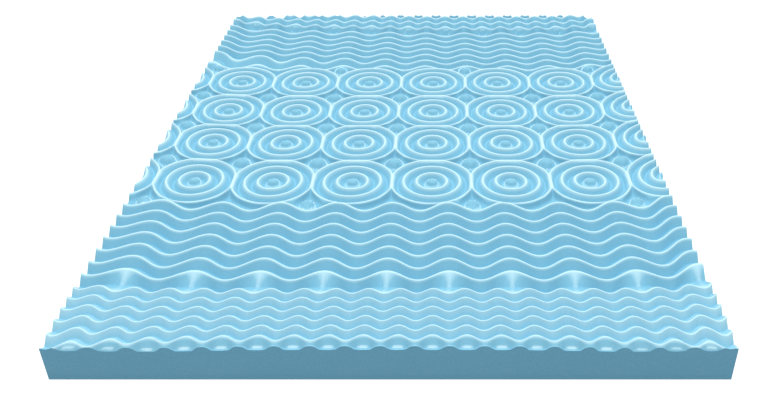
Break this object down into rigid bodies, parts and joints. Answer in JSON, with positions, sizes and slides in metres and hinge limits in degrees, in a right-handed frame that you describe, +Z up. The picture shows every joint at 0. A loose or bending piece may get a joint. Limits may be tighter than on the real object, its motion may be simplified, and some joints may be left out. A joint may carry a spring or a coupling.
{
  "type": "mattress topper",
  "caption": "Flat foam mattress topper with wavy ribs across both ends and rows of ringed discs between them.",
  "frame": {"origin": "middle of the flat underside", "axes": "+X across the bed, +Y from the foot end, which faces the viewer in the picture, to the head end, +Z up out of the patterned face"},
  "size_m": [1.524, 2.032, 0.1016],
  "materials": {
    "foam": "matt light-blue open-cell foam, cut faces"
  },
  "bodies": {
    "root": {"foam_pad": "foam"}
  },
  "joints": []
}
